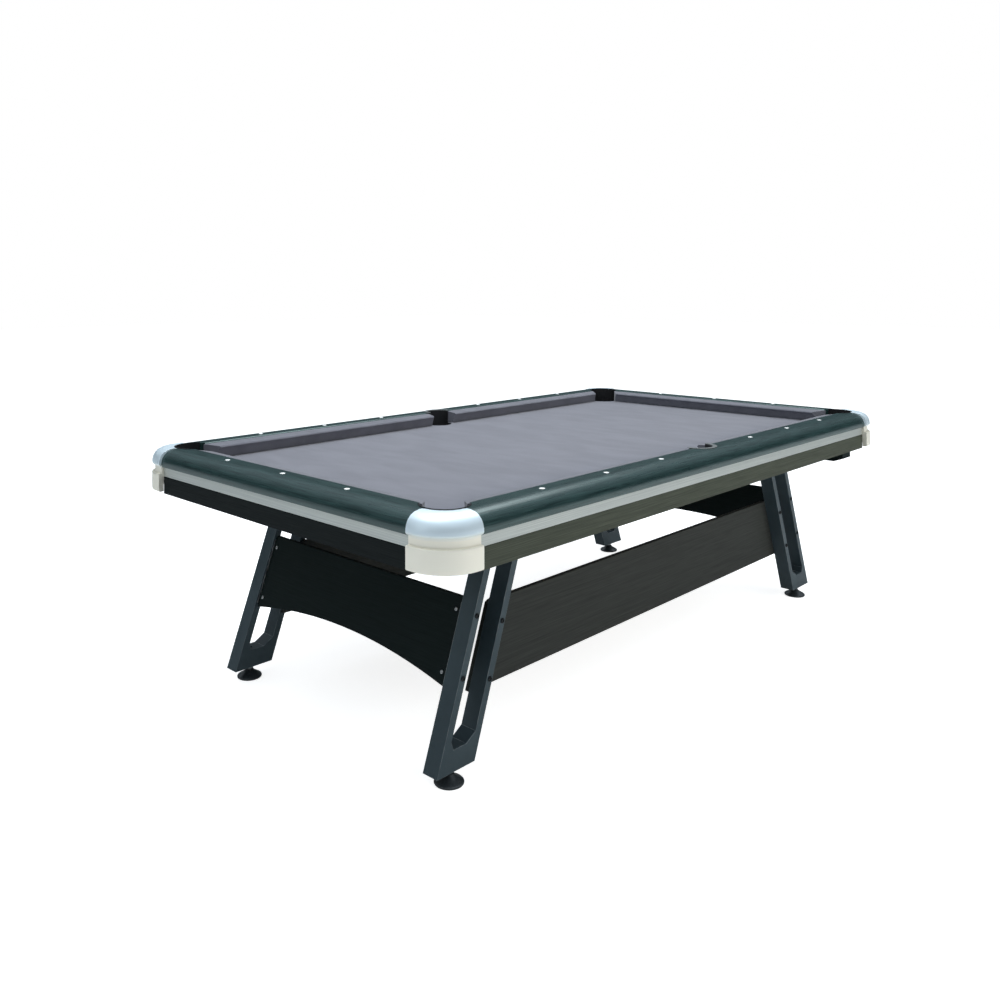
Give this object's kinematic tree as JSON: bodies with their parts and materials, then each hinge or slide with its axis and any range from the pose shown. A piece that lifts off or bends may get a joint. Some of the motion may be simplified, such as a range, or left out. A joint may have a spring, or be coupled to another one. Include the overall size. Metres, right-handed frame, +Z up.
{
  "type": "pool table",
  "caption": "Slate-bed pool table with rolled dark rails, silver corner caps and side strips, drop pockets with a ball return, splayed loop legs and screw feet.",
  "frame": {"origin": "on the floor, at the middle of the table's outer rectangle", "axes": "+X along the long sides towards the ball trough end, +Y across the table, +Z up"},
  "size_m": [2.74, 1.52, 0.81],
  "materials": {
    "slate_stone": "honed",
    "bed_cloth_wool": "napped wool",
    "cushion_cloth_wool": "napped wool over rubber",
    "rail_black_grain": "satin dark grain",
    "apron_black_grain": "satin dark grain",
    "satin_silver": "satin",
    "cap_silver": "satin",
    "liner_black": "moulded",
    "leg_slate_paint": "satin paint",
    "panel_black": "matt black foil",
    "stretcher_dark_grain": "dark grain foil",
    "frame_timber": "planed",
    "gully_black": "moulded",
    "bracket_steel": "plain",
    "stem_steel": "zinc plated",
    "pad_black": "moulded"
  },
  "bodies": {
    "table": {"slate_head": "slate_stone", "slate_centre": "slate_stone", "slate_foot": "slate_stone", "bed_cloth": "bed_cloth_wool", "cushion_head": "cushion_cloth_wool", "cushion_foot": "cushion_cloth_wool", "cushion_left_head": "cushion_cloth_wool", "cushion_left_foot": "cushion_cloth_wool", "cushion_right_head": "cushion_cloth_wool", "cushion_right_foot": "cushion_cloth_wool", "rail_head": "rail_black_grain", "rail_foot": "rail_black_grain", "rail_left": "rail_black_grain", "rail_right": "rail_black_grain", "trim_strip_head": "satin_silver", "trim_strip_foot": "satin_silver", "trim_strip_left": "satin_silver", "trim_strip_right": "satin_silver", "apron_head": "apron_black_grain", "apron_foot": "apron_black_grain", "apron_left": "apron_black_grain", "apron_right": "apron_black_grain", "corner_cap_head_right": "cap_silver", "corner_cap_foot_right": "cap_silver", "corner_cap_foot_left": "cap_silver", "corner_cap_head_left": "cap_silver", "pocket_liner_head_right": "liner_black", "pocket_liner_foot_right": "liner_black", "pocket_liner_foot_left": "liner_black", "pocket_liner_head_left": "liner_black", "pocket_liner_left": "liner_black", "pocket_liner_right": "liner_black", "frame_beam_left": "frame_timber", "frame_beam_right": "frame_timber", "cross_beam_head": "frame_timber", "cross_beam_foot": "frame_timber", "gully_left": "gully_black", "gully_right": "gully_black", "ball_trough": "panel_black", "leg_head_right": "leg_slate_paint", "leg_foot_right": "leg_slate_paint", "leg_foot_left": "leg_slate_paint", "leg_head_left": "leg_slate_paint", "end_panel_head": "panel_black", "end_panel_foot": "panel_black", "panel_bracket_head_left": "bracket_steel", "panel_bracket_head_right": "bracket_steel", "panel_bracket_foot_left": "bracket_steel", "panel_bracket_foot_right": "bracket_steel", "stretcher_left": "stretcher_dark_grain", "stretcher_right": "stretcher_dark_grain"},
    "stem_head_right": {"foot_stem_head_right": "stem_steel"},
    "pad_head_right": {"foot_pad_head_right": "pad_black"},
    "stem_foot_right": {"foot_stem_foot_right": "stem_steel"},
    "pad_foot_right": {"foot_pad_foot_right": "pad_black"},
    "stem_foot_left": {"foot_stem_foot_left": "stem_steel"},
    "pad_foot_left": {"foot_pad_foot_left": "pad_black"},
    "stem_head_left": {"foot_stem_head_left": "stem_steel"},
    "pad_head_left": {"foot_pad_head_left": "pad_black"}
  },
  "joints": [
    {"name": "level_head_right", "type": "slide", "parent": "table", "child": "stem_head_right", "axis": [0, 0, -1], "range_m": [0, 0.02]},
    {"name": "swivel_head_right", "type": "hinge", "parent": "stem_head_right", "child": "pad_head_right", "pos_m": [-1.089, -0.493, 0.01], "axis": [0, 0, 1], "continuous": true},
    {"name": "level_foot_right", "type": "slide", "parent": "table", "child": "stem_foot_right", "axis": [0, 0, -1], "range_m": [0, 0.02]},
    {"name": "swivel_foot_right", "type": "hinge", "parent": "stem_foot_right", "child": "pad_foot_right", "pos_m": [1.089, -0.493, 0.01], "axis": [0, 0, 1], "continuous": true},
    {"name": "level_foot_left", "type": "slide", "parent": "table", "child": "stem_foot_left", "axis": [0, 0, -1], "range_m": [0, 0.02]},
    {"name": "swivel_foot_left", "type": "hinge", "parent": "stem_foot_left", "child": "pad_foot_left", "pos_m": [1.089, 0.493, 0.01], "axis": [0, 0, 1], "continuous": true},
    {"name": "level_head_left", "type": "slide", "parent": "table", "child": "stem_head_left", "axis": [0, 0, -1], "range_m": [0, 0.02]},
    {"name": "swivel_head_left", "type": "hinge", "parent": "stem_head_left", "child": "pad_head_left", "pos_m": [-1.089, 0.493, 0.01], "axis": [0, 0, 1], "continuous": true}
  ]
}
